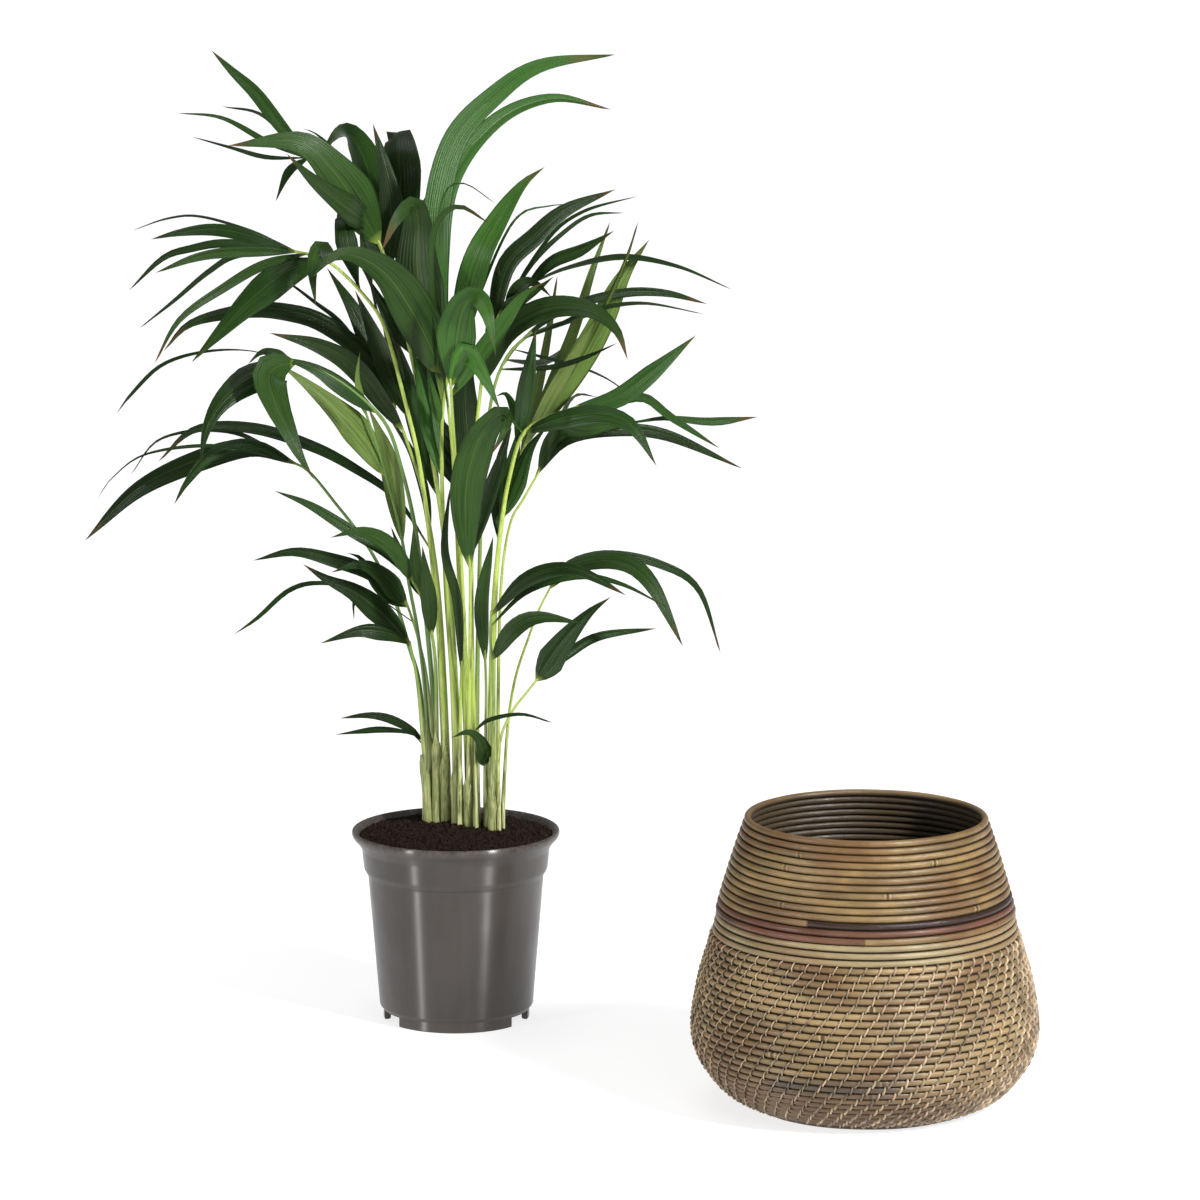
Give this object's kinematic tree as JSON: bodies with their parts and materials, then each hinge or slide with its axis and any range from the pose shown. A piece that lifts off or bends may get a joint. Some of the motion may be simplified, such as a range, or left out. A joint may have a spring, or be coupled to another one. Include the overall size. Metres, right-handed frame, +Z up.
{
  "type": "potted kentia palm",
  "caption": "A kentia palm with long arching pointed leaflets in a round lipped nursery pot of soil, and a round basket of coiled rattan with a dark band standing beside it",
  "frame": {"origin": "on the floor, under the middle of the pot's base", "axes": "+Z up, -Y towards the front, +X to the right as seen from the front"},
  "size_m": [0.853, 0.6318, 0.8735],
  "materials": {
    "pot_plastic": "matt",
    "soil": "rough, crumbly, damp",
    "leaf_green": "satin, living leaf",
    "leaf_dark": "satin, living leaf",
    "leaf_light": "satin, underside of a living leaf",
    "rattan": "natural cane, satin",
    "rattan_dark": "dark brown cane, satin"
  },
  "bodies": {
    "root": {"pot": "pot_plastic", "soil": "soil", "frond_left_high": "leaf_green", "frond_left_dark": "leaf_dark", "frond_left_hanging": "leaf_green", "frond_left_light": "leaf_light", "frond_left_low": "leaf_dark", "frond_left_diagonal": "leaf_dark", "frond_left_shelf": "leaf_green", "frond_left_split": "leaf_green", "frond_left_broad": "leaf_dark", "frond_left_foot": "leaf_dark", "frond_middle_tall": "leaf_green", "frond_middle_crown": "leaf_green", "frond_middle_front": "leaf_green", "frond_middle_right": "leaf_green", "frond_middle_back": "leaf_dark", "frond_middle_fold": "leaf_green", "frond_middle_low": "leaf_green", "frond_middle_spear": "leaf_dark", "frond_middle_foot": "leaf_dark", "frond_right_bright": "leaf_green", "frond_right_straw": "leaf_green", "frond_right_arch": "leaf_green", "frond_right_broad": "leaf_dark", "frond_right_upright": "leaf_light", "frond_right_low": "leaf_green", "frond_right_small": "leaf_green", "basket_neck_coils": "rattan", "basket_dark_coils": "rattan_dark", "basket_belly_coils": "rattan", "basket_base": "rattan"}
  },
  "joints": []
}
